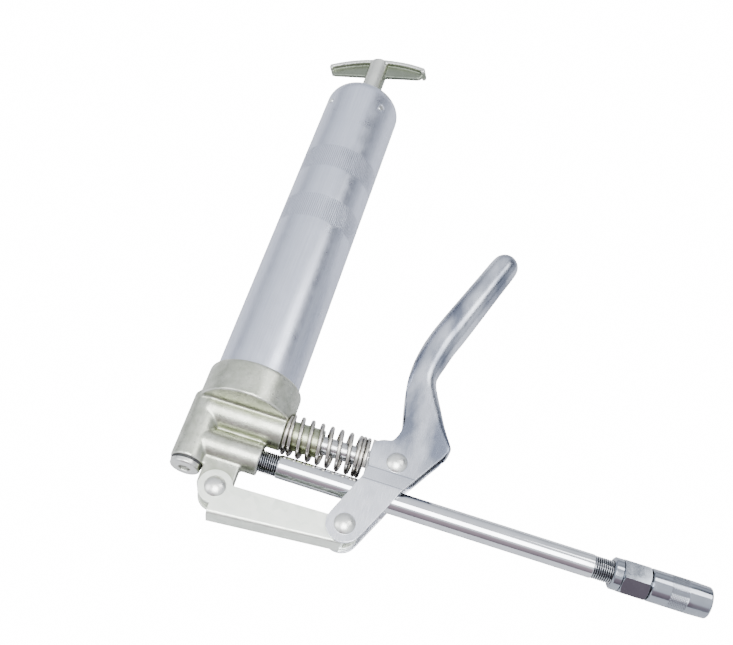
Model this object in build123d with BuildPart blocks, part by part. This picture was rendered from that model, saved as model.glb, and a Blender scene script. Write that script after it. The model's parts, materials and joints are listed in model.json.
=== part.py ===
from build123d import *
from math import cos, radians, sin, sqrt
import os

os.makedirs("parts", exist_ok=True)

# ---------------------------------------------------------------------------
# Lever-action grease gun, lying on its side as on a bench. Millimetres, +Z up.
# The barrel points along +Y, the spout along +X, and the lever swings in the
# plane of both. Places are measured from where the two axes cross, in the head.
# ---------------------------------------------------------------------------

# Fits
RUNNING = 0.05        # radial clearance of a shaft or pin that turns or slides
SEATED = 0.02         # radial clearance of a screwed or pressed fit
SIDE_GAP = 0.3        # side clearance between sheet-metal cheeks that swing
END_PLAY = 0.05       # clearance at each end of a spring or a seated tube
OVERLAP = 1.0         # how far a shape runs into or past the next before they merge
TINY = 0.01

# Barrel and its open end in the head
BARREL_R = 19.0
BARREL_WALL = 1.0
BARREL_END = 213.3    # outer face of the closed end
BARREL_SHOULDER = 9.0
COLLAR_WALL = 2.3
COLLAR_R = BARREL_R + COLLAR_WALL
COLLAR_LOW = 18.1
COLLAR_RIM = 34.0
RIM_CHAMFER = 0.8
CUP_FLOOR = 21.5
GASKET_T = 1.5
GASKET_WIDE = 2.6
GASKET_R = BARREL_R - 0.3
THREAD_R = BARREL_R + RUNNING

# Head casting
COLUMN_BACK = 15.8    # valve column, behind the barrel's axis
COLUMN_R = 7.5
COLUMN_LOW = -10.4
COLUMN_TOP = 20.8
PUMP_RISE = 15.6      # pump axis above the spout's
PUMP_BOSS_R = 8.2
BOSS_CLEAR = 0.5      # the boss reaches just past the side of the tube
PUMP_BOSS_END = BARREL_R + BOSS_CLEAR
NOSE_R = 6.4
NOSE_END = 36.5
OUTLET_R = 6.9
OUTLET_END = 13.5
LUG_HALF = 3.3
LUG_R = 6.6
LUG_SHIFT = 0.9       # the lug is a little wider on the column's side
THROAT_LEN = 33.0     # block that joins the collar to the pump boss
THROAT_WIDE = 14.0
THROAT_ROUND = 4.0
RIB_HALF = 2.6        # half thickness of the web between the two bosses
RIB_INSET = 2.0
PASSAGE_X = 3.0       # port from the barrel down into the pump bore
PASSAGE_R = 2.2

# Valve under the pump bore
SEAT_Y = 5.5
SEAT_R = 2.4
BALL_R = 3.2
VALVE_BORE_R = 4.5
PLUG_SHANK_TOP = -4.6
PLUG_HEAD_R = 6.7
PLUG_HEAD_T = 2.5
SEAL_T = 0.8
SEAL_PROUD = 0.2      # the ring is a little wider than the plug's head
SEAL_PLAY = 0.1
PLUG_CHAMFER = 0.7
SOCKET_R = 2.9        # hexagon socket, across its corners
SOCKET_DEEP = 2.6
CHECK_WIRE = 0.35     # wire radius of the valve's spring
CHECK_R = 2.4
CHECK_COILS = 3
CHECK_NEST = 0.6      # how far the ball sits down into the spring

# Pivots, from the crossing of the axes
PIVOT_A = (0.0, -19.0)         # link to the head's lug
PIVOT_C = (55.9, -18.1)        # lever to link
PIVOT_B = (69.6, PUMP_RISE)    # lever to piston rod
PIN_R = 3.0
RIVET_R = 4.6
RIVET_DOME = 2.1

# Sheet metal
LINK_T = 1.8
LEVER_T = 1.7
LINK_INNER = LUG_HALF + SIDE_GAP
LINK_OUTER = LINK_INNER + LINK_T
LEG_INNER = LINK_OUTER + SIDE_GAP
LEG_OUTER = LEG_INNER + LEVER_T
HEAD_HALF = 3.9                # half thickness of the rod's flat eye
NECK_INNER = HEAD_HALF + 0.4
NECK_OUTER = NECK_INNER + LEVER_T
EAR_R = 7.4
EAR_LESS = 0.6                 # the ear at the lever is a little smaller
LEG_R = 8.0
NECK_R_BACK = 6.5              # where the neck rolls up into the grip
GRIP_ROOT_R = 7.7
GRIP_R = 7.0

# Piston rod and return spring
ROD_R = 4.0
ROD_TIP = 8.5
ROD_CHAMFER = 0.6
FLANGE_X = 57.2
FLANGE_T = 2.2
FLANGE_HALF = 8.3
EYE_R = 6.6
SLOT_PLAY_X = 0.25             # play of the rod's eye on its pin, along the rod
SLOT_PLAY_Y = 0.6              # and across it
SPRING_R = 8.3                 # mean coil radius
SPRING_WIRE = 0.95             # wire radius
SPRING_COILS = 9

# Spout
PIPE_R = 5.15
PIPE_BORE_R = 2.5
PIPE_START = 3.5
PIPE_THREAD_R = 4.95
THREAD_RUN = 8.5               # thread showing past each screwed joint

# Coupler
COUPLER_X = 169.4
PIPE_END = COUPLER_X + 10.6    # how far the pipe screws in
NECK_LEN = 4.1
NECK_R = 6.9
HEX_LEN = 11.8
HEX_FLATS = 14.0
HEX_TURN = 52                  # a corner of the hexagon faces up and back
SLEEVE_GAP = 0.7
SLEEVE_LEN = 26.2
SLEEVE_R = 7.05
TIP_R = 6.8
TIP_X = COUPLER_X + NECK_LEN + HEX_LEN + SLEEVE_GAP + SLEEVE_LEN
SPIGOT_R = 5.6
SPIGOT_LEN = 12.5
NIPPLE_R = 3.35                # bore that grips a 6.5 mm grease nipple head
JAW_R = 5.5
JAW_LEN = 8.0
JAW_SLIT = 0.8
JAW_PLAY = 0.2
MOUTH_DEEP = 1.0               # the sleeve's lip in front of the jaws
MOUTH_R = NIPPLE_R + 0.8
TIP_TAPER = 8.0
TIP_ROUND = 0.9
NECK_CHAMFER = 0.8
COUPLER_WIRE = 0.45
COUPLER_SPRING_R = 3.3
COUPLER_COILS = 5

# Follower, its rod and the T-handle
ROD_THIN_R = 3.0
CUP_FRONT = 30.0
CUP_LEN = 10.0
CUP_PLAY = 0.3
CUP_R = BARREL_R - BARREL_WALL - CUP_PLAY
CUP_LIP = 1.5
CUP_LIP_LEN = 2.0
CUP_WEB = 3.5
PLATE_T = 1.5
PLATE_INSET = 2.1
PLATE_R = CUP_R - PLATE_INSET
PLATE_PLAY = 0.2
SHOULDER_T = 2.0
ROD_SHOULDER_R = 4.6
NUT_T = 4.5
NUT_FLATS = 10.0
GUIDE_DEPTH = 19.8
GUIDE_WALL = 1.2
GUIDE_SEAT = 2.0
GUIDE_PLAY = 0.1
ROD_PLAY = 0.3                 # the rod passes freely through the tube's end
STAKE_Y = BARREL_END - 15.7
STAKE_R = 1.3
STAKE_PROUD = 0.25
STAKE_ANGLES = (57, 147, 237, 327)
FOLLOWER_WIRE = 0.8
FOLLOWER_COILS = 18
HANDLE_TURN = 18.8             # how far the T-handle is turned round the barrel
HANDLE_HALF = 27.2
HANDLE_LOW = BARREL_END + 18.7  # straight lower edge of the bar
HANDLE_CROWN = HANDLE_LOW + 10.8  # top of the arch
HANDLE_DROP = 5.3              # how far the arch falls towards its ends
HANDLE_T = 2.3                 # arch
HANDLE_CAP_T = 2.0             # the short walls that close its ends
HANDLE_CAP_LOW = HANDLE_LOW + 2.8
HANDLE_FLANGE_HALF = 3.4
HANDLE_WEB_HALF = 1.0
HANDLE_CORNER = 3.2            # rounded lower corners of the web
HANDLE_ROUND = 0.9
STEM_R = 5.4
ROD_SUNK = 3.0                 # how far the rod reaches up inside the handle
STEM_SHY = 1.2                 # the stem ends under the arch's crown

# Lowest point of the link's bent-up channel, at its head end
LINK_DEPTH = 12.2     # back of the channel below its pivot
LINK_LOW = PIVOT_A[1] - LINK_DEPTH

# The object's box stands on the floor, centred on the origin. Its far side along -X
# is the end of the T-handle or the valve column, whichever reaches further.
TURN = radians(HANDLE_TURN)
HANDLE_REACH = HANDLE_HALF * cos(TURN) + HANDLE_FLANGE_HALF * sin(TURN)
HEAD_X = -(TIP_X - max(COLUMN_BACK + COLUMN_R, HANDLE_REACH)) / 2
HEAD_Y = -(HANDLE_CROWN + LINK_LOW) / 2
AXIS_Z = COLLAR_R
CROSSING = (HEAD_X, HEAD_Y, AXIS_Z)

SIDE = Plane(origin=CROSSING, x_dir=(1, 0, 0), z_dir=(0, 0, 1))
SPOUT = Plane(origin=CROSSING, x_dir=(0, 1, 0), z_dir=(1, 0, 0))
BARREL = Plane(origin=CROSSING, x_dir=(1, 0, 0), z_dir=(0, 1, 0))
PUMP = Plane(origin=(HEAD_X, HEAD_Y + PUMP_RISE, AXIS_Z), x_dir=(0, 1, 0), z_dir=(1, 0, 0))
COLUMN = Plane(origin=(HEAD_X - COLUMN_BACK, HEAD_Y, AXIS_Z), x_dir=(1, 0, 0), z_dir=(0, 1, 0))
HANDLE = Plane(origin=CROSSING, x_dir=(cos(TURN), 0, sin(TURN)), z_dir=(-sin(TURN), 0, cos(TURN)))


def finish_part(builder, label):
    """Labels a finished piece and writes it."""
    builder.part.label = label
    export_step(builder.part, f"parts/{label}.step")


def round_bar(plane, start, end, radius, mode=Mode.ADD):
    """A cylinder from one station to another along a plane's normal."""
    with BuildSketch(plane.offset(start)) as disc:
        Circle(radius)
    extrude(disc.sketch, amount=end - start, mode=mode)


def coil_spring(plane, start, end, coils, radius, wire):
    """Adds an open coil spring whose outer faces lie at the two stations."""
    rise = end - start - 2 * wire
    foot = plane.offset(start + wire)
    with BuildLine() as path:
        Helix(rise / coils, rise, radius, center=foot.origin, direction=foot.z_dir)
    with BuildSketch(Plane(origin=path.line @ 0, z_dir=path.line % 0)) as section:
        Circle(wire)
    sweep(section.sketch, path=path.line, is_frenet=True)


# --- Head casting: collar, valve column, pump and outlet bosses, link lug -----
with BuildPart() as pump_head:
    with BuildSketch(BARREL.offset(COLLAR_LOW)):
        Circle(COLLAR_R)
    extrude(amount=COLLAR_RIM - COLLAR_LOW)
    with BuildSketch(BARREL.offset(PUMP_RISE - PUMP_BOSS_R / 2)):
        RectangleRounded(THROAT_LEN, THROAT_WIDE, THROAT_ROUND)
    extrude(amount=COLLAR_LOW - PUMP_RISE + PUMP_BOSS_R / 2 + OVERLAP)
    round_bar(COLUMN, COLUMN_LOW, COLUMN_TOP, COLUMN_R)
    round_bar(PUMP, -COLUMN_BACK, PUMP_BOSS_END, PUMP_BOSS_R)
    round_bar(PUMP, PUMP_BOSS_END, NOSE_END, NOSE_R)
    round_bar(SPOUT, -COLUMN_BACK, OUTLET_END, OUTLET_R)
    with BuildSketch(SIDE.offset(-RIB_HALF)):
        with Locations(((OUTLET_END - COLUMN_BACK - RIB_INSET) / 2, PUMP_RISE / 2)):
            Rectangle(OUTLET_END + COLUMN_BACK - RIB_INSET, PUMP_RISE)
    extrude(amount=2 * RIB_HALF)
    with BuildSketch(SIDE.offset(-LUG_HALF)):
        with Locations((PIVOT_A[0] - LUG_SHIFT, PIVOT_A[1] / 2)):
            Rectangle(2 * (LUG_R + LUG_SHIFT), -PIVOT_A[1])
        with Locations(PIVOT_A):
            Circle(LUG_R)
    extrude(amount=2 * LUG_HALF)
    # cup for the barrel, and the port that feeds grease down into the pump
    round_bar(BARREL, CUP_FLOOR, COLLAR_RIM, THREAD_R, Mode.SUBTRACT)
    with BuildSketch(BARREL.offset(PUMP_RISE)):
        with Locations((PASSAGE_X, 0)):
            Circle(PASSAGE_R)
    extrude(amount=CUP_FLOOR - PUMP_RISE, mode=Mode.SUBTRACT)
    # pump bore, valve bore with its seat, and the outlet thread
    round_bar(PUMP, -COLUMN_BACK, NOSE_END, ROD_R + RUNNING, Mode.SUBTRACT)
    round_bar(COLUMN, SEAT_Y, PUMP_RISE, SEAT_R, Mode.SUBTRACT)
    round_bar(COLUMN, COLUMN_LOW, SEAT_Y, VALVE_BORE_R, Mode.SUBTRACT)
    round_bar(SPOUT, -COLUMN_BACK, PIPE_START, PASSAGE_R, Mode.SUBTRACT)
    round_bar(SPOUT, PIPE_START, OUTLET_END, PIPE_THREAD_R + SEATED, Mode.SUBTRACT)
    with BuildSketch(SIDE.offset(-LUG_HALF)):
        with Locations(PIVOT_A):
            Circle(PIN_R + RUNNING)
    extrude(amount=2 * LUG_HALF, mode=Mode.SUBTRACT)
    rim = pump_head.edges().filter_by(GeomType.CIRCLE).filter_by(
        lambda edge: abs(edge.radius - COLLAR_R) < TINY
    )
    chamfer(rim.sort_by(Axis.Y)[-1], RIM_CHAMFER)
finish_part(pump_head, "pump_head")

# --- Outlet check valve: ball, spring, screw plug and its seal ----------------
BALL_Y = SEAT_Y - sqrt(BALL_R**2 - SEAT_R**2) - SEATED
with BuildPart() as check_ball:
    with Locations((HEAD_X - COLUMN_BACK, HEAD_Y + BALL_Y, AXIS_Z)):
        Sphere(BALL_R)
finish_part(check_ball, "check_ball")

with BuildPart() as check_spring:
    coil_spring(COLUMN, PLUG_SHANK_TOP, BALL_Y - BALL_R + CHECK_NEST, CHECK_COILS, CHECK_R, CHECK_WIRE)
finish_part(check_spring, "check_spring")

with BuildPart() as plug_seal:
    with BuildSketch(COLUMN.offset(COLUMN_LOW - SEAL_T)):
        Circle(PLUG_HEAD_R + SEAL_PROUD)
        Circle(VALVE_BORE_R + SEAL_PLAY, mode=Mode.SUBTRACT)
    extrude(amount=SEAL_T)
finish_part(plug_seal, "plug_seal")

with BuildPart() as column_plug:
    plug_face = COLUMN_LOW - SEAL_T - PLUG_HEAD_T
    round_bar(COLUMN, plug_face, COLUMN_LOW - SEAL_T, PLUG_HEAD_R)
    round_bar(COLUMN, COLUMN_LOW - SEAL_T, PLUG_SHANK_TOP, VALVE_BORE_R - SEATED)
    chamfer(column_plug.edges().group_by(Axis.Y)[0], PLUG_CHAMFER)
    with BuildSketch(COLUMN.offset(plug_face)):
        RegularPolygon(SOCKET_R, 6)
    extrude(amount=SOCKET_DEEP, mode=Mode.SUBTRACT)
finish_part(column_plug, "column_plug")

# --- Spout pipe, threaded at both ends -----------------------------------------
with BuildPart() as spout_pipe:
    round_bar(SPOUT, PIPE_START, PIPE_END, PIPE_THREAD_R)
    round_bar(SPOUT, OUTLET_END + THREAD_RUN, COUPLER_X - THREAD_RUN, PIPE_R)
    round_bar(SPOUT, PIPE_START, PIPE_END, PIPE_BORE_R, Mode.SUBTRACT)
finish_part(spout_pipe, "spout_pipe")

# --- Coupler: hexagon body, twist sleeve, spring, seal and four jaws -----------
HEX_START = COUPLER_X + NECK_LEN
HEX_END = HEX_START + HEX_LEN
SPIGOT_END = HEX_END + SPIGOT_LEN
SLEEVE_START = HEX_END + SLEEVE_GAP
JAW_END = TIP_X - MOUTH_DEEP
JAW_START = JAW_END - JAW_LEN
COUPLER_BORE_R = 4.2
with BuildPart() as coupler_body:
    round_bar(SPOUT, COUPLER_X, HEX_START, NECK_R)
    with BuildSketch(SPOUT.offset(HEX_START)):
        RegularPolygon(HEX_FLATS / 2, 6, major_radius=False, rotation=HEX_TURN)
    extrude(amount=HEX_LEN)
    round_bar(SPOUT, HEX_END, SPIGOT_END, SPIGOT_R)
    chamfer(coupler_body.edges().group_by(Axis.X)[0], NECK_CHAMFER)
    round_bar(SPOUT, COUPLER_X, PIPE_END, PIPE_THREAD_R + SEATED, Mode.SUBTRACT)
    round_bar(SPOUT, PIPE_END, HEX_END, PASSAGE_R / 2, Mode.SUBTRACT)
    round_bar(SPOUT, HEX_END, SPIGOT_END, COUPLER_BORE_R, Mode.SUBTRACT)
finish_part(coupler_body, "coupler_body")

SLEEVE_BORE_R = SPIGOT_R + RUNNING
with BuildPart() as coupler_sleeve:
    round_bar(SPOUT, SLEEVE_START, TIP_X - TIP_TAPER, SLEEVE_R)
    with BuildSketch(SPOUT.offset(TIP_X - TIP_TAPER)):
        Circle(SLEEVE_R)
    with BuildSketch(SPOUT.offset(TIP_X)):
        Circle(TIP_R)
    loft()
    fillet(coupler_sleeve.edges().group_by(Axis.X)[-1], TIP_ROUND)
    round_bar(SPOUT, SLEEVE_START, JAW_END + SEAL_PLAY, SLEEVE_BORE_R, Mode.SUBTRACT)
    round_bar(SPOUT, JAW_END, TIP_X, MOUTH_R, Mode.SUBTRACT)
finish_part(coupler_sleeve, "coupler_sleeve")

SEAL_LEN = 5.2
COUPLER_SPRING_END = JAW_START - JAW_PLAY - SEAL_LEN - SEAL_PLAY
with BuildPart() as coupler_seal:
    round_bar(SPOUT, JAW_START - JAW_PLAY - SEAL_LEN, JAW_START - JAW_PLAY, COUPLER_BORE_R - SEAL_PLAY)
    round_bar(SPOUT, JAW_START - JAW_PLAY - SEAL_LEN, JAW_START - JAW_PLAY, PASSAGE_R / 2, Mode.SUBTRACT)
finish_part(coupler_seal, "coupler_seal")

with BuildPart() as coupler_spring:
    coil_spring(SPOUT, HEX_END + END_PLAY, COUPLER_SPRING_END, COUPLER_COILS, COUPLER_SPRING_R, COUPLER_WIRE)
finish_part(coupler_spring, "coupler_spring")

with BuildPart() as coupler_jaws:
    with BuildSketch(SPOUT.offset(JAW_START)):
        Circle(JAW_R)
        Circle(NIPPLE_R, mode=Mode.SUBTRACT)
        Rectangle(2 * JAW_R + 2, JAW_SLIT, mode=Mode.SUBTRACT)
        Rectangle(JAW_SLIT, 2 * JAW_R + 2, mode=Mode.SUBTRACT)
    extrude(amount=JAW_LEN)
finish_part(coupler_jaws, "coupler_jaws")

# --- Piston rod: plunger, spring flange and slotted eye ------------------------
with BuildPart() as piston_rod:
    round_bar(PUMP, ROD_TIP, FLANGE_X + OVERLAP, ROD_R)
    with BuildSketch(SIDE.offset(-HEAD_HALF)):
        with Locations((FLANGE_X + FLANGE_T / 2, PUMP_RISE)):
            Rectangle(FLANGE_T, 2 * FLANGE_HALF)
        with Locations(((FLANGE_X + PIVOT_B[0]) / 2, PUMP_RISE)):
            Rectangle(PIVOT_B[0] - FLANGE_X, 2 * EYE_R)
        with Locations(PIVOT_B):
            Circle(EYE_R)
            SlotCenterToCenter(
                2 * (SLOT_PLAY_Y - SLOT_PLAY_X), 2 * (PIN_R + SLOT_PLAY_X), rotation=90, mode=Mode.SUBTRACT
            )
    extrude(amount=2 * HEAD_HALF)
    chamfer(piston_rod.edges().group_by(Axis.X)[0], ROD_CHAMFER)
finish_part(piston_rod, "piston_rod")

with BuildPart() as return_spring:
    coil_spring(PUMP, PUMP_BOSS_END + END_PLAY, FLANGE_X - END_PLAY, SPRING_COILS, SPRING_R, SPRING_WIRE)
finish_part(return_spring, "return_spring")

# --- Link: folded channel between the lug and the lever ------------------------
LINK_WEB_PAST = 0.8             # the channel's back ends just past the lever's pivot
LINK_WEB_END = PIVOT_C[0] + LINK_WEB_PAST
LINK_RISE = 4.9                # how much shallower the channel is at the lever
with BuildPart() as link_arm:
    with BuildSketch(SIDE.offset(-LINK_OUTER)):
        with BuildLine():
            Polyline(
                (0.2, LINK_LOW),
                (LINK_WEB_END, LINK_LOW + LINK_RISE),
                (LINK_WEB_END, PIVOT_C[1] + 2.9),
                (0.2, PIVOT_A[1] + 2.3),
                close=True,
            )
        make_face()
        with Locations(PIVOT_A):
            Circle(EAR_R)
        with Locations(PIVOT_C):
            Circle(EAR_R - EAR_LESS)
    extrude(amount=2 * LINK_OUTER)
    # the space between the cheeks, open away from the web
    with BuildSketch(SIDE.offset(-LINK_INNER)):
        with BuildLine():
            Polyline(
                (-EAR_R - 5, LINK_LOW + LINK_T - 0.4),
                (LINK_WEB_END + 15, LINK_LOW + LINK_T + LINK_RISE + 0.9),
                (LINK_WEB_END + 15, 0),
                (-EAR_R - 5, 0),
                close=True,
            )
        make_face()
    extrude(amount=2 * LINK_INNER, mode=Mode.SUBTRACT)
    with BuildSketch(SIDE.offset(-LINK_OUTER)):
        with Locations(PIVOT_A):
            Circle(PIN_R + SEATED)
        with Locations(PIVOT_C):
            Circle(PIN_R + RUNNING)
    extrude(amount=2 * LINK_OUTER, mode=Mode.SUBTRACT)
finish_part(link_arm, "link_arm")

# --- Lever: one pressed sheet, two legs, a boxed neck and a rolled grip --------
CREASE_LOW = 3.5               # the legs step in towards the neck between these
CREASE_HIGH = 10.9
LEG_LOW = PIVOT_C[1] - LEG_R
NECK_CORNER = (90.8, 29.4)
WAIST = (76.6, 61.0)
NECK_TOP = 65.0                # the cheeks and web end inside the grip's wall here
GRIP_START = (70.4, 61.0)
GRIP_BEND = (72.2, 76.0)
GRIP_FIRM = (77.6, 91.0)       # the grip is straight from here to its tip
GRIP_TIP = (93.6, 135.4)
with BuildPart() as lever:
    # the two cheeks as bent strips, seen along the spout
    with BuildSketch(SPOUT.offset(PIVOT_C[0] - 20)):
        with BuildLine():
            Polyline(
                (LEG_LOW - 1, LEG_INNER),
                (CREASE_LOW, LEG_INNER),
                (CREASE_HIGH, NECK_INNER),
                (NECK_TOP, NECK_INNER),
                (NECK_TOP, NECK_OUTER),
                (CREASE_HIGH, NECK_OUTER),
                (CREASE_LOW, LEG_OUTER),
                (LEG_LOW - 1, LEG_OUTER),
                close=True,
            )
        make_face()
        mirror(about=Plane.XZ)
    extrude(amount=60)
    # trimmed to the lever's side outline
    with BuildSketch(SIDE.offset(-LEG_OUTER)):
        with BuildLine():
            Polyline(
                (48.6, -14.8),
                (58.4, 8.0),
                (57.4, 15.0),
                (57.6, 20.6),
                (60.4, 23.9),
                (64.8, 24.6),
                (68.0, 34.0),
                (65.8, 46.0),
                (64.2, 57.0),
                (64.3, NECK_TOP),
                (WAIST[0] + 0.4, NECK_TOP),
                WAIST,
                NECK_CORNER,
                (76.8, 7.0),
                (63.3, -15.2),
                close=True,
            )
        make_face()
        with Locations(PIVOT_C):
            Circle(LEG_R)
    extrude(amount=2 * LEG_OUTER, mode=Mode.INTERSECT)
    # the web that joins them along the back
    with BuildSketch(SIDE.offset(-NECK_OUTER)):
        with BuildLine():
            Polyline(
                NECK_CORNER,
                WAIST,
                (WAIST[0] + 0.4, NECK_TOP),
                (WAIST[0] + 0.4 - LEVER_T, NECK_TOP),
                (WAIST[0] - LEVER_T, WAIST[1]),
                (NECK_CORNER[0] - LEVER_T, NECK_CORNER[1] - 1.0),
                close=True,
            )
        make_face()
    extrude(amount=2 * NECK_OUTER)
    # rolled grip: swells round the bend, then tapers to a domed end
    with BuildLine(SIDE) as grip_path:
        FilletPolyline(GRIP_START, GRIP_BEND, GRIP_FIRM, radius=18)
    grip_root = Plane(origin=grip_path.line @ 0, z_dir=grip_path.line % 0)
    grip_swell = Plane(origin=grip_path.line @ 1, z_dir=grip_path.line % 1)
    grip_end = Plane(origin=SIDE.from_local_coords(GRIP_TIP), z_dir=grip_path.line % 1)
    for shrink, mode in ((0, Mode.ADD), (LEVER_T, Mode.SUBTRACT)):
        with BuildSketch(grip_root):
            Circle(NECK_R_BACK - shrink)
        with BuildSketch(grip_swell):
            Circle(GRIP_ROOT_R - shrink)
        sweep(path=grip_path.line, multisection=True, mode=mode)
        with BuildSketch(grip_swell):
            Circle(GRIP_ROOT_R - shrink)
        with BuildSketch(grip_end):
            Circle(GRIP_R - shrink)
        loft(mode=mode)
        with Locations(SIDE.from_local_coords(GRIP_TIP)):
            Sphere(GRIP_R - shrink, mode=mode)
    with BuildSketch(SIDE.offset(-LEG_OUTER)):
        with Locations(PIVOT_C):
            Circle(PIN_R + SEATED)
        with Locations(PIVOT_B):
            Circle(PIN_R + SEATED)
    extrude(amount=2 * LEG_OUTER, mode=Mode.SUBTRACT)
finish_part(lever, "lever")


# --- Rivets: a plain pin with a domed head on each side ------------------------
def rivet(place, half_grip):
    """Adds a rivet through a pivot whose cheeks' outer faces are half_grip from the middle."""
    dome_r = (RIVET_R**2 + RIVET_DOME**2) / (2 * RIVET_DOME)
    middle = SIDE.from_local_coords((place[0], place[1], 0))
    with BuildSketch(Plane(origin=middle, x_dir=(1, 0, 0), z_dir=(0, -1, 0))) as half:
        with BuildLine():
            RadiusArc((0, half_grip + RIVET_DOME), (RIVET_R, half_grip), dome_r)
            Polyline(
                (RIVET_R, half_grip),
                (PIN_R, half_grip),
                (PIN_R, -half_grip),
                (RIVET_R, -half_grip),
            )
            RadiusArc((RIVET_R, -half_grip), (0, -half_grip - RIVET_DOME), dome_r)
            Line((0, -half_grip - RIVET_DOME), (0, half_grip + RIVET_DOME))
        make_face()
    revolve(half.sketch, axis=Axis(middle, (0, 0, 1)))


with BuildPart() as link_pin:
    rivet(PIVOT_A, LINK_OUTER)
finish_part(link_pin, "link_pin")

with BuildPart() as lever_pin:
    rivet(PIVOT_C, LEG_OUTER)
finish_part(lever_pin, "lever_pin")

with BuildPart() as rod_pin:
    rivet(PIVOT_B, NECK_OUTER)
finish_part(rod_pin, "rod_pin")

# --- Barrel: drawn tube with a closed, rounded end ------------------------------
TUBE_START = CUP_FLOOR + RUNNING + GASKET_T + END_PLAY
BORE_R = BARREL_R - BARREL_WALL
SPOKES = [
    Plane(
        origin=(HEAD_X, HEAD_Y + STAKE_Y, AXIS_Z),
        x_dir=(0, 1, 0),
        z_dir=(cos(radians(angle)), 0, sin(radians(angle))),
    )
    for angle in STAKE_ANGLES
]
with BuildPart() as barrel_gasket:
    with BuildSketch(BARREL.offset(CUP_FLOOR + RUNNING)):
        Circle(GASKET_R)
        Circle(GASKET_R - GASKET_WIDE, mode=Mode.SUBTRACT)
    extrude(amount=GASKET_T)
finish_part(barrel_gasket, "barrel_gasket")

with BuildPart() as barrel_tube:
    # half of the wall's section, turned about the barrel's axis
    with BuildSketch(SIDE):
        with BuildLine():
            FilletPolyline(
                (BARREL_R, TUBE_START), (BARREL_R, BARREL_END), (0, BARREL_END), radius=BARREL_SHOULDER
            )
            Line((0, BARREL_END), (0, BARREL_END - BARREL_WALL))
            FilletPolyline(
                (0, BARREL_END - BARREL_WALL),
                (BORE_R, BARREL_END - BARREL_WALL),
                (BORE_R, TUBE_START),
                radius=BARREL_SHOULDER - BARREL_WALL,
            )
            Line((BORE_R, TUBE_START), (BARREL_R, TUBE_START))
        make_face()
    revolve(axis=Axis(CROSSING, (0, 1, 0)))
    round_bar(BARREL, BARREL_END - 5 * BARREL_WALL, BARREL_END, ROD_THIN_R + ROD_PLAY, Mode.SUBTRACT)
    for spoke in SPOKES:
        round_bar(spoke, BORE_R - 1, BARREL_R + 1, STAKE_R + SEATED, Mode.SUBTRACT)
finish_part(barrel_tube, "barrel_tube")

# --- Guide inside the closed end, held by stakes through the tube ---------------
GUIDE_R = BORE_R - SEATED
GUIDE_TOP = BARREL_END - BARREL_WALL - GUIDE_PLAY
with BuildPart() as rod_guide:
    with BuildSketch(SIDE):
        with BuildLine():
            FilletPolyline(
                (GUIDE_R, GUIDE_TOP - GUIDE_DEPTH),
                (GUIDE_R, GUIDE_TOP),
                (ROD_THIN_R + RUNNING, GUIDE_TOP),
                radius=BARREL_SHOULDER - BARREL_WALL,
            )
            Line((ROD_THIN_R + RUNNING, GUIDE_TOP), (ROD_THIN_R + RUNNING, GUIDE_TOP - GUIDE_SEAT))
            FilletPolyline(
                (ROD_THIN_R + RUNNING, GUIDE_TOP - GUIDE_SEAT),
                (GUIDE_R - GUIDE_WALL, GUIDE_TOP - GUIDE_SEAT),
                (GUIDE_R - GUIDE_WALL, GUIDE_TOP - GUIDE_DEPTH),
                radius=BARREL_SHOULDER - BARREL_WALL - GUIDE_WALL,
            )
            Line((GUIDE_R - GUIDE_WALL, GUIDE_TOP - GUIDE_DEPTH), (GUIDE_R, GUIDE_TOP - GUIDE_DEPTH))
        make_face()
    revolve(axis=Axis(CROSSING, (0, 1, 0)))
    for spoke in SPOKES:
        round_bar(spoke, BORE_R - 3, BARREL_R, STAKE_R + SEATED, Mode.SUBTRACT)
finish_part(rod_guide, "rod_guide")

with BuildPart() as end_stakes:
    for spoke in SPOKES:
        round_bar(spoke, GUIDE_R - GUIDE_WALL - 0.5, BARREL_R + STAKE_PROUD, STAKE_R)
finish_part(end_stakes, "end_stakes")

# --- Follower: rubber cup and steel plate on the rod, pushed by its spring ------
with BuildPart() as follower_cup:
    with BuildSketch(SIDE):
        with BuildLine():
            Polyline(
                (ROD_THIN_R + RUNNING, CUP_FRONT + CUP_WEB),
                (ROD_THIN_R + RUNNING, CUP_FRONT),
                (CUP_R - CUP_LIP, CUP_FRONT),
                (CUP_R, CUP_FRONT + CUP_LIP_LEN),
                (CUP_R, CUP_FRONT + CUP_LEN),
                (PLATE_R + PLATE_PLAY, CUP_FRONT + CUP_LEN),
                (PLATE_R + PLATE_PLAY, CUP_FRONT + CUP_WEB),
                close=True,
            )
        make_face()
    revolve(axis=Axis(CROSSING, (0, 1, 0)))
finish_part(follower_cup, "follower_cup")

PLATE_Y = CUP_FRONT + CUP_WEB
with BuildPart() as follower_plate:
    with BuildSketch(BARREL.offset(PLATE_Y)):
        Circle(PLATE_R)
        Circle(ROD_THIN_R + RUNNING, mode=Mode.SUBTRACT)
    extrude(amount=PLATE_T)
finish_part(follower_plate, "follower_plate")

# the spring bears on the flat of the guide's seat, inside its rounded corner
FOLLOWER_SPRING_R = BORE_R - (BARREL_SHOULDER - BARREL_WALL) - FOLLOWER_WIRE - PLATE_PLAY
with BuildPart() as follower_spring:
    coil_spring(
        BARREL, PLATE_Y + PLATE_T, GUIDE_TOP - GUIDE_SEAT, FOLLOWER_COILS, FOLLOWER_SPRING_R, FOLLOWER_WIRE
    )
finish_part(follower_spring, "follower_spring")

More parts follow.
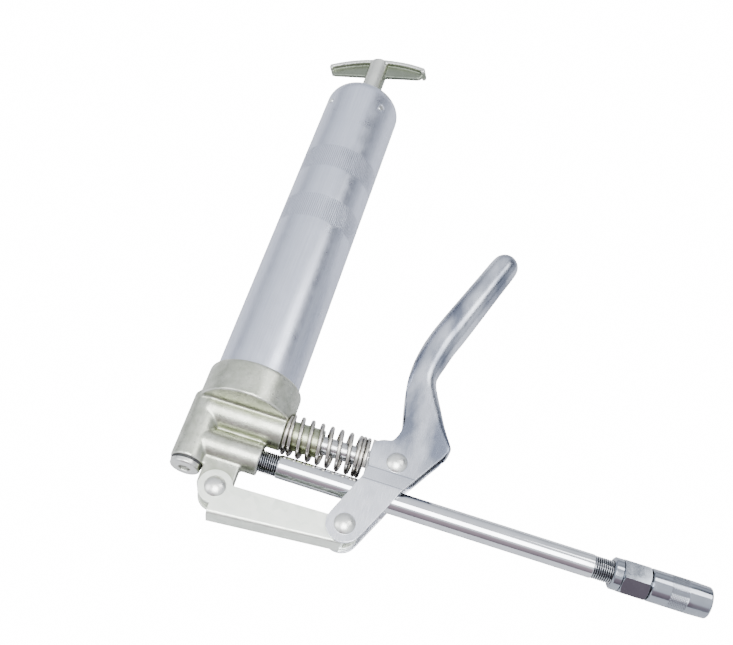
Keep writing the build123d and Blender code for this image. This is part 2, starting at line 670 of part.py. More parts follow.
# --- Follower rod with its shoulder, end nut and the T-handle --------------------
STEM_LOW = BARREL_END + SIDE_GAP
ARCH_END = HANDLE_CROWN - HANDLE_DROP
CAP_INSIDE = HANDLE_HALF - HANDLE_CAP_T
CAP_TOP = HANDLE_CROWN - HANDLE_T - HANDLE_DROP * (CAP_INSIDE / HANDLE_HALF) ** 2
ROD_END = HANDLE_LOW + ROD_SUNK
NUT_Y = CUP_FRONT - RUNNING - NUT_T
with BuildPart() as follower_rod:
    round_bar(BARREL, NUT_Y, ROD_END, ROD_THIN_R)
    round_bar(BARREL, PLATE_Y + PLATE_T + RUNNING, PLATE_Y + PLATE_T + SHOULDER_T, ROD_SHOULDER_R)
finish_part(follower_rod, "follower_rod")

with BuildPart() as follower_nut:
    with BuildSketch(BARREL.offset(NUT_Y)):
        RegularPolygon(NUT_FLATS / 2, 6, major_radius=False)
        Circle(ROD_THIN_R + SEATED, mode=Mode.SUBTRACT)
    extrude(amount=NUT_T)
finish_part(follower_nut, "follower_nut")

with BuildPart() as t_handle:
    # arched top flange, and the thinner web under it down to a straight edge
    with BuildSketch(HANDLE.offset(-HANDLE_FLANGE_HALF)) as arch:
        with BuildLine():
            ThreePointArc(
                (-HANDLE_HALF, ARCH_END),
                (0, HANDLE_CROWN),
                (HANDLE_HALF, ARCH_END),
            )
            Polyline(
                (HANDLE_HALF, ARCH_END),
                (HANDLE_HALF, HANDLE_CAP_LOW),
                (CAP_INSIDE, HANDLE_CAP_LOW),
                (CAP_INSIDE, CAP_TOP),
            )
            ThreePointArc(
                (CAP_INSIDE, CAP_TOP),
                (0, HANDLE_CROWN - HANDLE_T),
                (-CAP_INSIDE, CAP_TOP),
            )
            Polyline(
                (-CAP_INSIDE, CAP_TOP),
                (-CAP_INSIDE, HANDLE_CAP_LOW),
                (-HANDLE_HALF, HANDLE_CAP_LOW),
                (-HANDLE_HALF, ARCH_END),
            )
        make_face()
        fillet(arch.vertices().sort_by(Axis.X)[:2], HANDLE_ROUND)
        fillet(arch.vertices().sort_by(Axis.X)[-2:], HANDLE_ROUND)
    extrude(amount=2 * HANDLE_FLANGE_HALF)
    with BuildSketch(HANDLE.offset(-HANDLE_WEB_HALF)) as web:
        with BuildLine():
            ThreePointArc(
                (-HANDLE_HALF + HANDLE_ROUND, ARCH_END - HANDLE_ROUND),
                (0, HANDLE_CROWN - HANDLE_ROUND),
                (HANDLE_HALF - HANDLE_ROUND, ARCH_END - HANDLE_ROUND),
            )
            Polyline(
                (HANDLE_HALF - HANDLE_ROUND, ARCH_END - HANDLE_ROUND),
                (HANDLE_HALF - HANDLE_ROUND, HANDLE_LOW),
                (-HANDLE_HALF + HANDLE_ROUND, HANDLE_LOW),
                (-HANDLE_HALF + HANDLE_ROUND, ARCH_END - HANDLE_ROUND),
            )
        make_face()
        fillet(web.vertices().sort_by(Axis.Y)[:2], HANDLE_CORNER)
    extrude(amount=2 * HANDLE_WEB_HALF)
    round_bar(BARREL, STEM_LOW, HANDLE_CROWN - STEM_SHY, STEM_R)
    round_bar(BARREL, STEM_LOW, ROD_END, ROD_THIN_R + SEATED, Mode.SUBTRACT)
finish_part(t_handle, "t_handle")
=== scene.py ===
import bpy
import json
from math import atan2, cos, hypot, pi, radians, sin, sqrt
from mathutils import Matrix, Vector


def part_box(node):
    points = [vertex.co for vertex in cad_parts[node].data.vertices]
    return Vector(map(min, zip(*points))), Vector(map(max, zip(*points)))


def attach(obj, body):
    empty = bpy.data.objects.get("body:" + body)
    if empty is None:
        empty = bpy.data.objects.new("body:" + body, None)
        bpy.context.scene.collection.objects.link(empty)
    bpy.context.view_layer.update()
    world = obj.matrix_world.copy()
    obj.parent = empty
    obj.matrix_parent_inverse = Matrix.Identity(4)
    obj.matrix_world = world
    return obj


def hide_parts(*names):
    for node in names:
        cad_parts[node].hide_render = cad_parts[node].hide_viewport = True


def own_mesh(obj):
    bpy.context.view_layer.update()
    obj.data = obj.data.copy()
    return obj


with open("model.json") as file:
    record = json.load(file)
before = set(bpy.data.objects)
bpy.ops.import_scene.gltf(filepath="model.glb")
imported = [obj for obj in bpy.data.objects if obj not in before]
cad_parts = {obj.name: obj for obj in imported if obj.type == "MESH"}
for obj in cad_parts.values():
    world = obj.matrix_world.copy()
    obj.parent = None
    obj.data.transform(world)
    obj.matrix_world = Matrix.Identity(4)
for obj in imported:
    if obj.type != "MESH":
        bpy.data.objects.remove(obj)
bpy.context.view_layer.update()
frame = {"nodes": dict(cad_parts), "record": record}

# --- Where things are ----------------------------------------------------------
# Everything is laid out from the point where the barrel's axis and the spout's
# axis cross inside the head: x along the spout, y along the barrel, z up.
MM = 0.001
tube_low, tube_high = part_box("barrel_tube")
pipe_low, pipe_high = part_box("spout_pipe")
crossing = Vector((
    (tube_low[0] + tube_high[0]) / 2,
    (pipe_low[1] + pipe_high[1]) / 2,
    (pipe_low[2] + pipe_high[2]) / 2,
))


def from_crossing(point):
    """A CAD corner or point in metres as millimetres from the crossing."""
    return [(point[axis] - crossing[axis]) / MM for axis in range(3)]


# --- Camera ----------------------------------------------------------------------
# Looks down on the gun from over the spout, tilted a little to the side.
CAMERA_PLACE = (54.923, -169.729, 416.322)     # mm from the crossing
CAMERA_TURN = (30.4367, -7.2059, 15.9567)      # degrees about x, y and z
CAMERA_LENS = 51.066
SENSOR_WIDTH = 36.0
camera_data = bpy.data.cameras.new("Camera")
camera = bpy.data.objects.new("Camera", camera_data)
bpy.context.scene.collection.objects.link(camera)
camera.location = crossing + Vector(CAMERA_PLACE) * MM
camera.rotation_euler = [radians(turn) for turn in CAMERA_TURN]
camera_data.sensor_fit = "HORIZONTAL"
camera_data.sensor_width = SENSOR_WIDTH
camera_data.lens = CAMERA_LENS
camera_data.clip_start = 0.01
bpy.context.scene.camera = camera


# --- Floor and studio light --------------------------------------------------------
# A white table top, soft boxes overhead and to both sides, and a pale room with one
# dark corner and a warm back wall, which give the bright metal its lines.
def srgb(code):
    """A colour as written on a paint chart, #rrggbb, as the renderer wants it."""
    parts = [int(code[at:at + 2], 16) / 255 for at in (1, 3, 5)]
    return [part / 12.92 if part < 0.04045 else ((part + 0.055) / 1.055) ** 2.4 for part in parts] + [1.0]


def add(tree, kind, sockets=None, **settings):
    """Adds one node: its settings, then its sockets, each a value or another node's output."""
    made = tree.nodes.new(kind)
    for name, value in settings.items():
        setattr(made, name, value)
    for name, value in (sockets or {}).items():
        if isinstance(value, bpy.types.NodeSocket):
            tree.links.new(value, made.inputs[name])
        else:
            made.inputs[name].default_value = value
    return made


def ramp(tree, factor, *stops):
    """A colour ramp over a factor; each stop is (place, colour)."""
    made = add(tree, "ShaderNodeValToRGB", {"Fac": factor})
    elements = made.color_ramp.elements
    while len(elements) < len(stops):
        elements.new(0.5)
    for element, (place, colour) in zip(elements, stops):
        element.position = place
        element.color = srgb(colour)
    return made.outputs["Color"]


def mixed(tree, share, first, second, blend="MIX"):
    """Two colours mixed by a share from 0 to 1, or the first multiplied by the second."""
    first_colour, second_colour, colour_out = 6, 7, 2     # the mix node's colour sockets
    made = add(
        tree, "ShaderNodeMix", {"Factor": share, first_colour: first, second_colour: second},
        data_type="RGBA", blend_type=blend,
    )
    return made.outputs[colour_out]


FLOOR_SIZE = 6.0
FLOOR_GLOW = 16.0
ROOM_GLOW = 2.15
bpy.ops.mesh.primitive_plane_add(size=FLOOR_SIZE)
floor = bpy.context.object
floor.name = "table_top"
floor_finish = bpy.data.materials.new("white_table_top")
floor_finish.use_nodes = True
floor_tree = floor_finish.node_tree
floor_shader = floor_tree.nodes["Principled BSDF"]
floor_shader.inputs["Base Color"].default_value = srgb("#b4b5b8")
floor_shader.inputs["Roughness"].default_value = 0.9
floor_shader.inputs["Specular IOR Level"].default_value = 0.1
# seen directly it's lit to plain white; the metal reflects it as a paper grey
seen_directly = add(floor_tree, "ShaderNodeLightPath").outputs["Is Camera Ray"]
white_light = add(floor_tree, "ShaderNodeEmission", {"Color": srgb("#ffffff"), "Strength": FLOOR_GLOW})
floor_mix = add(floor_tree, "ShaderNodeMixShader", {
    0: seen_directly, 1: floor_shader.outputs["BSDF"], 2: white_light.outputs["Emission"],
})
floor_tree.links.new(floor_mix.outputs["Shader"], floor_tree.nodes["Material Output"].inputs["Surface"])
floor.data.materials.append(floor_finish)

room = bpy.data.worlds.new("pale_room")
bpy.context.scene.world = room
room.use_nodes = True
room_tree = room.node_tree
background = room_tree.nodes["Background"]
room_look = add(room_tree, "ShaderNodeTexCoord").outputs["Generated"]
room_axes = add(room_tree, "ShaderNodeSeparateXYZ", {"Vector": room_look})
room_walls = ramp(
    room_tree, room_axes.outputs["Z"],
    (0.0, "#8b8e95"), (0.2, "#b0b3ba"), (0.5, "#cfd2d9"), (0.9, "#dfe1e7"),
)


def shade_towards(colour, direction, *stops):
    """Multiplies the room's colour by a ramp over how nearly a view goes in a direction."""
    nearness = add(
        room_tree, "ShaderNodeVectorMath", {0: room_look, 1: direction}, operation="DOT_PRODUCT"
    ).outputs["Value"]
    return mixed(room_tree, 1.0, colour, ramp(room_tree, nearness, *stops), "MULTIPLY")


# the darker corner of the room, up and to the right beyond the barrel's end
DARK_CORNER = Vector((0.60, 0.57, 0.56)).normalized()
room_colour = shade_towards(room_walls, DARK_CORNER, (0.89, "#ffffff"), (0.975, "#565a62"))
# and the warm dark wall behind the camera, which draws a line along the chrome
BACK_WALL = (0.0, -0.94, 0.33)
room_colour = shade_towards(room_colour, BACK_WALL, (0.86, "#ffffff"), (0.93, "#b9a6ab"))
room_tree.links.new(room_colour, background.inputs["Color"])
background.inputs["Strength"].default_value = ROOM_GLOW


def soft_box(name, place, aim, size, power):
    """A square studio light at a place, turned towards a point."""
    light = bpy.data.lights.new(name, "AREA")
    light.size = size
    light.energy = power
    holder = bpy.data.objects.new(name, light)
    bpy.context.scene.collection.objects.link(holder)
    holder.location = place
    holder.rotation_euler = (Vector(aim) - Vector(place)).to_track_quat("-Z", "Y").to_euler()


soft_box("overhead", (0.0, -0.32, 1.05), (0, 0, 0), size=0.65, power=20)
soft_box("left_side", (-0.9, -0.3, 0.75), (0, 0, 0), size=0.6, power=5)
soft_box("right_fill", (0.53, 0.40, 0.95), (0.0, 0.03, 0.0), size=0.46, power=4.5)


# --- Finishes ---------------------------------------------------------------------
# One per real surface. Pattern sizes are in millimetres on the object.
def start_finish(name, metallic, roughness):
    """A material with its object coordinates and its main shader."""
    finish = bpy.data.materials.new(name)
    finish.use_nodes = True
    tree = finish.node_tree
    shader = tree.nodes["Principled BSDF"]
    shader.inputs["Metallic"].default_value = metallic
    shader.inputs["Roughness"].default_value = roughness
    coords = add(tree, "ShaderNodeTexCoord").outputs["Object"]
    return finish, tree, shader, coords


def grain(tree, coords, size_mm, detail=4.0, stretch=(1, 1, 1)):
    """Noise whose blobs are about size_mm across, drawn out along an axis where stretch is small."""
    placed = add(tree, "ShaderNodeMapping", {"Vector": coords, "Scale": stretch}).outputs["Vector"]
    return add(
        tree, "ShaderNodeTexNoise", {"Vector": placed, "Scale": 1.0 / (size_mm * MM), "Detail": detail}
    ).outputs["Fac"]


def spread(tree, factor, low, high):
    """A factor's middle range turned into values from low to high."""
    return add(tree, "ShaderNodeMapRange", {
        "Value": factor, "From Min": 0.3, "From Max": 0.7, "To Min": low, "To Max": high,
    }).outputs["Result"]


def relief(tree, shader, height, depth_mm):
    """Bumps the surface by a height map of that depth."""
    bump = add(tree, "ShaderNodeBump", {"Height": height, "Strength": 1.0, "Distance": depth_mm * MM})
    tree.links.new(bump.outputs["Normal"], shader.inputs["Normal"])


def painted_recess_shade(tree, colour, shade_colour, reach_mm):
    """The colour, turning to a painted shade colour where the surface is shut in."""
    shut_in = add(tree, "ShaderNodeAmbientOcclusion", {"Distance": reach_mm * MM}, samples=8).outputs["AO"]
    open_share = add(
        tree, "ShaderNodeMapRange", {"Value": shut_in, "From Min": 0.25, "From Max": 0.85}
    ).outputs["Result"]
    return mixed(tree, open_share, srgb(shade_colour), colour)


def tone_in(finish, share, tone):
    """Mixes a tone into a finish's colour by a share from 0 to 1."""
    tree = finish.node_tree
    shader = tree.nodes["Principled BSDF"]
    colour = shader.inputs["Base Color"].links[0].from_socket
    tree.links.new(mixed(tree, share, colour, srgb(tone)), shader.inputs["Base Color"])


def off_axis(tree, across, near_mm, far_mm, most):
    """A share that falls from most to nothing as a point moves away from an axis through the crossing."""
    coords = add(tree, "ShaderNodeTexCoord").outputs["Object"]
    offset = add(
        tree, "ShaderNodeVectorMath", {0: coords, 1: crossing}, operation="SUBTRACT"
    ).outputs["Vector"]
    flat = add(
        tree, "ShaderNodeVectorMath", {0: offset, 1: across}, operation="MULTIPLY"
    ).outputs["Vector"]
    radius = add(tree, "ShaderNodeVectorMath", {0: flat}, operation="LENGTH").outputs["Value"]
    return add(tree, "ShaderNodeMapRange", {
        "Value": radius, "From Min": near_mm * MM, "From Max": far_mm * MM, "To Min": most, "To Max": 0.0,
    }).outputs["Result"]


# Die-cast zinc: pale warm grey satin skin, faintly mottled, with a painted greenish shade where it is shut in
cast_zinc, tree, shader, coords = start_finish("die_cast_zinc", 0.92, 0.36)
mottle = ramp(tree, grain(tree, coords, 5.0), (0.3, "#a0a496"), (0.7, "#c0c2b7"))
zinc_with_recess_shade = painted_recess_shade(tree, mottle, "#727b50", 10.0)
# and a painted highlight along its sharper edges
edges = add(tree, "ShaderNodeMapRange", {
    "Value": add(tree, "ShaderNodeNewGeometry").outputs["Pointiness"], "From Min": 0.515, "From Max": 0.56,
}).outputs["Result"]
tree.links.new(mixed(tree, edges, zinc_with_recess_shade, srgb("#e3e4de")), shader.inputs["Base Color"])
tree.links.new(spread(tree, grain(tree, coords, 1.2), 0.26, 0.40), shader.inputs["Roughness"])
relief(tree, shader, grain(tree, coords, 0.45, 3.0), 0.035)

# Drawn tube: cool satin silver, with faint streaks along its length
barrel_skin, tree, shader, coords = start_finish("satin_drawn_tube", 1.0, 0.3)
streaks = grain(tree, coords, 0.5, 3.0, (1, 0.02, 1))
tree.links.new(ramp(tree, streaks, (0.3, "#c5cad8"), (0.7, "#d1d6e2")), shader.inputs["Base Color"])
tree.links.new(spread(tree, grain(tree, coords, 6.0), 0.27, 0.36), shader.inputs["Roughness"])

# Chrome plate: mirror bright, with a little waviness left from polishing
chrome, tree, shader, coords = start_finish("polished_chrome", 1.0, 0.06)
plate_tone = ramp(tree, grain(tree, coords, 8.0), (0.3, "#c6c8cc"), (0.7, "#d3d5d8"))
# painted shade: dark grey where the surface is shut in within a millimetre, kept by the coupler's grey chrome
# too
tree.links.new(painted_recess_shade(tree, plate_tone, "#484b50", 1.0), shader.inputs["Base Color"])
tree.links.new(spread(tree, grain(tree, coords, 3.0), 0.05, 0.12), shader.inputs["Roughness"])
relief(tree, shader, grain(tree, coords, 6.0, 2.0), 0.006)

# Plated pressed sheet: bluish silver, lightly brushed and clouded, with painted shade up the neck
NECK_SHADE_FROM = 2.0
NECK_SHADE_FULL = 24.0
CREASES = (4.0, 10.4)
CREASE_HALF = 0.28
plated_sheet, tree, shader, coords = start_finish("brushed_plated_sheet", 1.0, 0.25)
clouds = ramp(tree, grain(tree, coords, 14.0, 5.0), (0.32, "#d3d6de"), (0.66, "#e9ebf0"))
# painted shade: darker and mottled up the neck
up_the_lever = add(tree, "ShaderNodeSeparateXYZ", {"Vector": coords}).outputs["Y"]
neck_shade_share = add(tree, "ShaderNodeMapRange", {
    "Value": up_the_lever,
    "From Min": crossing.y + NECK_SHADE_FROM * MM, "From Max": crossing.y + NECK_SHADE_FULL * MM,
}).outputs["Result"]
neck_shade_tone = ramp(tree, grain(tree, coords, 13.0, 4.0, (1, 0.45, 1)), (0.38, "#7b8190"), (0.62, "#cbcfd8"))
skin = mixed(tree, neck_shade_share, clouds, neck_shade_tone)
# and a thin painted line of shade along each crease
for crease in CREASES:
    crease_shade = add(tree, "ShaderNodeMath", {
        0: up_the_lever, 1: crossing.y + crease * MM, 2: CREASE_HALF * MM,
    }, operation="COMPARE").outputs["Value"]
    share = add(tree, "ShaderNodeMath", {0: crease_shade, 1: 0.55}, operation="MULTIPLY").outputs["Value"]
    skin = mixed(tree, share, skin, srgb("#787d8b"))
tree.links.new(skin, shader.inputs["Base Color"])
brush = grain(tree, coords, 0.35, 3.0, (1, 0.06, 1))
tree.links.new(spread(tree, brush, 0.20, 0.30), shader.inputs["Roughness"])
relief(tree, shader, brush, 0.004)

# Galvanised sheet: pale, faintly greenish, with soft flakes of spangle
galvanised, tree, shader, coords = start_finish("galvanised_sheet", 0.9, 0.4)
flakes = add(tree, "ShaderNodeTexVoronoi", {"Vector": coords, "Scale": 1 / (4.5 * MM)}).outputs["Color"]
flake_share = add(tree, "ShaderNodeSeparateColor", {"Color": flakes}).outputs["Red"]
tree.links.new(ramp(tree, flake_share, (0.0, "#d9dfd4"), (1.0, "#e8ece2")), shader.inputs["Base Color"])
tree.links.new(spread(tree, grain(tree, coords, 2.5), 0.34, 0.46), shader.inputs["Roughness"])
relief(tree, shader, grain(tree, coords, 1.4, 3.0), 0.012)

# Spring wire: bright drawn steel, with a painted brownish shade where it is shut in between the coils
spring_steel, tree, shader, coords = start_finish("drawn_spring_wire", 1.0, 0.2)
wire_tone = ramp(tree, grain(tree, coords, 3.0), (0.3, "#aaa59c"), (0.7, "#c6c3bc"))
tree.links.new(painted_recess_shade(tree, wire_tone, "#4d463c", 3.0), shader.inputs["Base Color"])
tree.links.new(spread(tree, grain(tree, coords, 0.8), 0.16, 0.28), shader.inputs["Roughness"])
relief(tree, shader, grain(tree, coords, 0.3, 3.0), 0.006)

# Bright zinc plate on rivets and screws: near white, soft mirror
bright_zinc, tree, shader, coords = start_finish("bright_zinc_plate", 1.0, 0.3)
tree.links.new(
    ramp(tree, grain(tree, coords, 2.0), (0.3, "#d5d6d1"), (0.7, "#e2e3df")), shader.inputs["Base Color"]
)
tree.links.new(spread(tree, grain(tree, coords, 0.7), 0.26, 0.38), shader.inputs["Roughness"])
relief(tree, shader, grain(tree, coords, 0.5, 3.0), 0.008)

# Ground steel of the rods and jaws: grey, with fine rings from the grinding wheel
ground_steel, tree, shader, coords = start_finish("ground_steel", 1.0, 0.22)
rings = grain(tree, coords, 0.12, 2.0, (1, 0.05, 0.05))
tree.links.new(ramp(tree, rings, (0.3, "#b1b2b3"), (0.7, "#c8c9c9")), shader.inputs["Base Color"])
tree.links.new(spread(tree, rings, 0.16, 0.3), shader.inputs["Roughness"])
relief(tree, shader, rings, 0.003)

# Nitrile rubber: near black, matt, slightly dusty
rubber, tree, shader, coords = start_finish("black_rubber", 0.0, 0.6)
shader.inputs["IOR"].default_value = 1.52
tree.links.new(
    ramp(tree, grain(tree, coords, 1.5), (0.3, "#1b1c1d"), (0.7, "#2b2c2d")), shader.inputs["Base Color"]
)
tree.links.new(spread(tree, grain(tree, coords, 0.8), 0.5, 0.7), shader.inputs["Roughness"])
relief(tree, shader, grain(tree, coords, 0.3, 3.0), 0.01)


# --- Barrel tube -------------------------------------------------------------------
# A thin drawn steel tube with its far end spun over. Two rolled bands of straight
# serrations give the hand a grip, and four small dents sit under the stakes.
def pick(piece):
    """Selects one piece alone and makes it the one that tools work on."""
    bpy.ops.object.select_all(action="DESELECT")
    piece.select_set(True)
    bpy.context.view_layer.objects.active = piece


def edit(piece, *steps):
    """Runs mesh tools on the whole of a piece: each step is a tool and its settings."""
    pick(piece)
    bpy.ops.object.mode_set(mode="EDIT")
    bpy.ops.mesh.select_all(action="SELECT")
    for tool, settings in steps:
        tool(**settings)
    bpy.ops.object.mode_set(mode="OBJECT")


def lathe(name, sides, profile, closed=True):
    """A turned piece about its own z: a ring drawn through (radius, height) stations in mm."""
    bpy.ops.object.select_all(action="DESELECT")
    bpy.ops.mesh.primitive_circle_add(vertices=sides, radius=profile[0][0] * MM)
    piece = bpy.context.object
    piece.name = name
    bpy.ops.object.mode_set(mode="EDIT")
    bpy.ops.mesh.select_all(action="SELECT")
    bpy.ops.transform.translate(value=(0, 0, profile[0][1] * MM))
    stations = list(profile[1:]) + ([profile[0]] if closed else [])
    radius, height = profile[0]
    for next_radius, next_height in stations:
        bpy.ops.mesh.extrude_edges_move(
            TRANSFORM_OT_translate={"value": (0, 0, (next_height - height) * MM)}
        )
        scale = next_radius / radius
        bpy.ops.transform.resize(value=(scale, scale, 1), center_override=(0, 0, next_height * MM))
        radius, height = next_radius, next_height
    bpy.ops.object.mode_set(mode="OBJECT")
    edit(
        piece,
        (bpy.ops.mesh.remove_doubles, {"threshold": 0.002 * MM}),
        (bpy.ops.mesh.normals_make_consistent, {"inside": False}),
    )
    return piece


def shape_with(piece, kind, **settings):
    """Adds a modifier with its settings and applies it."""
    modifier = piece.modifiers.new(kind.title(), kind)
    for name, value in settings.items():
        setattr(modifier, name, value)
    pick(piece)
    bpy.ops.object.modifier_apply(modifier=modifier.name)


def smooth(piece, angle):
    """Smooth shading, with edges sharper than the angle left crisp."""
    pick(piece)
    bpy.ops.object.shade_smooth_by_angle(angle=radians(angle))


def fit(piece, finish, node, turn=None, crisp=35):
    """Places a piece modelled from the crossing, gives it its finish and hands it to the CAD node's body."""
    if turn is not None:
        piece.data.transform(turn)
    piece.data.transform(Matrix.Translation(crossing))
    take_over(piece, finish, node, crisp)


def take_over(piece, finish, node, crisp=35, even=True):
    """Gives a piece its finish and lets it stand for a CAD node; even keeps flat faces evenly shaded."""
    piece.data.materials.clear()
    piece.data.materials.append(finish)
    smooth(piece, crisp)
    if even:
        shape_with(piece, "WEIGHTED_NORMAL", keep_sharp=True)
    body = next(name for name, nodes in frame["record"]["behaviour"]["bodies"].items() if node in nodes)
    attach(piece, body)
    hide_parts(node)


ALONG_BARREL = Matrix.Rotation(radians(-90), 4, "X")     # a lathe's z becomes +y
ALONG_SPOUT = Matrix.Rotation(radians(90), 4, "Y")       # and here +x

BARREL_R = (tube_high[0] - tube_low[0]) / 2 / MM
BARREL_WALL = 1.0
TUBE_START = from_crossing(tube_low)[1]
TUBE_END = from_crossing(tube_high)[1]
SHOULDER = 9.0
BANDS = ((117.1, 132.0), (149.2, 163.8))
SERRATION = 0.11
BARREL_SIDES = 360
BAND_EDGE = 0.7
STAKE_BACK = 15.7
STAKE_TURNS = (57, 147, 237, 327)
DENT_R = 3.1
DENT_DEPTH = 0.55
DENT_ROW = 0.4          # rows this far apart carry the dents
ROD_HOLE_R = 3.3
# painted shade in the serration grooves: full at this depth below the skin, none at the next
GROOVE_SHADE_DEEP = 0.10        # below the skin, fully dull from here
GROOVE_SHADE_EDGE = 0.02


def shoulder(radius, end, bend, steps=12):
    """The rounded corner of a tube's closed end as (radius, height) stations."""
    turns = [radians(90 * step / steps) for step in range(steps + 1)]
    return [(radius - bend + bend * cos(turn), end - bend + bend * sin(turn)) for turn in turns]


outside = [(BARREL_R, TUBE_START), (BARREL_R, 60.0), (BARREL_R, 100.0)]
for start, end in BANDS:
    outside += [(BARREL_R, start - 0.5), (BARREL_R, start), (BARREL_R, start + BAND_EDGE)]
    outside += [(BARREL_R, start + (end - start) * share) for share in (0.33, 0.67)]
    outside += [(BARREL_R, end - BAND_EDGE), (BARREL_R, end), (BARREL_R, end + 0.5)]
stake_y = TUBE_END - STAKE_BACK
outside += [(BARREL_R, stake_y + DENT_ROW * step) for step in range(-9, 10)]
outside += shoulder(BARREL_R, TUBE_END, SHOULDER)
inside = shoulder(BARREL_R - BARREL_WALL, TUBE_END - BARREL_WALL, SHOULDER - BARREL_WALL)[::-1]
inside = [(ROD_HOLE_R, TUBE_END), (ROD_HOLE_R, TUBE_END - BARREL_WALL)] + inside
inside += [(BARREL_R - BARREL_WALL, TUBE_START)]
barrel = lathe("barrel", BARREL_SIDES, outside + inside)
for vertex in barrel.data.vertices:
    x, y, height = [value / MM for value in vertex.co]
    radius = hypot(x, y)
    if radius < BARREL_R - 0.1:
        continue
    # the lathe's own y is the floor side once the tube is laid along the barrel
    turn = atan2(-y, x)
    sink = 0.0
    groove = round(turn / (2 * pi) * BARREL_SIDES)
    for start, end in BANDS:
        if start + 0.1 < height < end - 0.1 and groove % 3 == 0:
            sink = SERRATION
    for stake in STAKE_TURNS:
        across = ((turn - radians(stake) + pi) % (2 * pi) - pi) * BARREL_R
        reach = hypot(across, height - stake_y) / DENT_R
        if reach < 1:
            sink = DENT_DEPTH * (0.5 + 0.5 * cos(pi * reach))
    vertex.co.x *= 1 - sink / radius
    vertex.co.y *= 1 - sink / radius
# the roots of the serrations are painted darker than the tube, as painted shade in the grooves
tree = barrel_skin.node_tree
coords = add(tree, "ShaderNodeTexCoord").outputs["Object"]
along = add(tree, "ShaderNodeSeparateXYZ", {"Vector": coords}).outputs["Y"]
in_band = [
    add(tree, "ShaderNodeMath", {
        0: along, 1: crossing.y + (start + end) / 2 * MM, 2: (end - start) / 2 * MM,
    }, operation="COMPARE").outputs["Value"]
    for start, end in BANDS
]
in_band = add(tree, "ShaderNodeMath", {0: in_band[0], 1: in_band[1]}, operation="ADD").outputs["Value"]
root = off_axis(tree, (1, 0, 1), BARREL_R - GROOVE_SHADE_DEEP, BARREL_R - GROOVE_SHADE_EDGE, 0.7)
groove_shade = add(tree, "ShaderNodeMath", {0: root, 1: in_band}, operation="MULTIPLY").outputs["Value"]
tone_in(barrel_skin, groove_shade, "#8a8e9a")
fit(barrel, barrel_skin, "barrel_tube", ALONG_BARREL, 12)

# --- Head casting ----------------------------------------------------------------------
# A zinc die casting: collar, valve column, two bosses and the link's lug. Every edge and
# corner of it is softly rounded, as a casting's are.


def merged_copy(node, name):
    """A CAD node's mesh as a new piece, its loose triangles joined up."""
    piece = bpy.data.objects.new(name, frame["nodes"][node].data.copy())
    bpy.context.scene.collection.objects.link(piece)
    pick(piece)
    bpy.ops.mesh.customdata_custom_splitnormals_clear()
    edit(
        piece,
        (bpy.ops.mesh.remove_doubles, {"threshold": 0.002 * MM}),
        (bpy.ops.mesh.normals_make_consistent, {"inside": False}),
    )
    return piece


head = merged_copy("pump_head", "head_casting")
shape_with(head, "REMESH", mode="VOXEL", voxel_size=0.5 * MM)
shape_with(head, "SMOOTH", factor=0.5, iterations=9)
take_over(head, cast_zinc, "pump_head", 60, even=False)

# --- T-handle --------------------------------------------------------------------------
# Cast in zinc like the head: an arched bar with a thinner web, on a round stem. The sunk
# panels of its web carry a painted dark greenish shade, and its rim a painted highlight.
HANDLE_TURN = 18.8      # how far it is turned round the barrel
handle = merged_copy("t_handle", "pull_handle")
shape_with(handle, "REMESH", mode="VOXEL", voxel_size=0.35 * MM)
shape_with(handle, "SMOOTH", factor=0.5, iterations=7)
handle_zinc_shaded = cast_zinc.copy()
handle_zinc_shaded.name = "die_cast_zinc_painted_panel_shade"
tree = handle_zinc_shaded.node_tree
through = Vector((-sin(radians(HANDLE_TURN)), 0, cos(radians(HANDLE_TURN))))
coords = add(tree, "ShaderNodeTexCoord").outputs["Object"]
height = add(tree, "ShaderNodeVectorMath", {0: coords, 1: through}, operation="DOT_PRODUCT").outputs["Value"]
height = add(
    tree, "ShaderNodeMath", {0: height, 1: crossing.dot(through)}, operation="SUBTRACT"
).outputs["Value"]
off_middle = add(tree, "ShaderNodeMath", {0: height}, operation="ABSOLUTE").outputs["Value"]
# painted shade: the sunk web panels turn dark greenish
panel_shade = add(tree, "ShaderNodeMapRange", {
    "Value": off_middle, "From Min": 1.2 * MM, "From Max": 2.4 * MM, "To Min": 0.8, "To Max": 0.0,
}).outputs["Result"]
# painted highlight: the proud rim turns near white
rim_highlight = add(tree, "ShaderNodeMapRange", {
    "Value": off_middle, "From Min": 2.5 * MM, "From Max": 3.1 * MM, "To Min": 0.0, "To Max": 0.6,
}).outputs["Result"]
tone_in(handle_zinc_shaded, panel_shade, "#666f60")
tone_in(handle_zinc_shaded, rim_highlight, "#e3e4df")
take_over(handle, handle_zinc_shaded, "t_handle", 60, even=False)


# --- Column plug --------------------------------------------------------------------------
# A bright plated screw plug with a chamfered head and a hexagon socket.
def softened(node, name, width_mm, angle=35, segments=2):
    """A copy of a CAD node with its sharp edges broken."""
    piece = merged_copy(node, name)
    edit(piece, (bpy.ops.mesh.dissolve_limited, {"angle_limit": radians(1.0)}))
    shape_with(
        piece, "BEVEL", width=width_mm * MM, segments=segments,
        limit_method="ANGLE", angle_limit=radians(angle), use_clamp_overlap=True,
    )
    return piece


plug = softened("column_plug", "screw_plug", 0.25)
take_over(plug, bright_zinc, "column_plug")

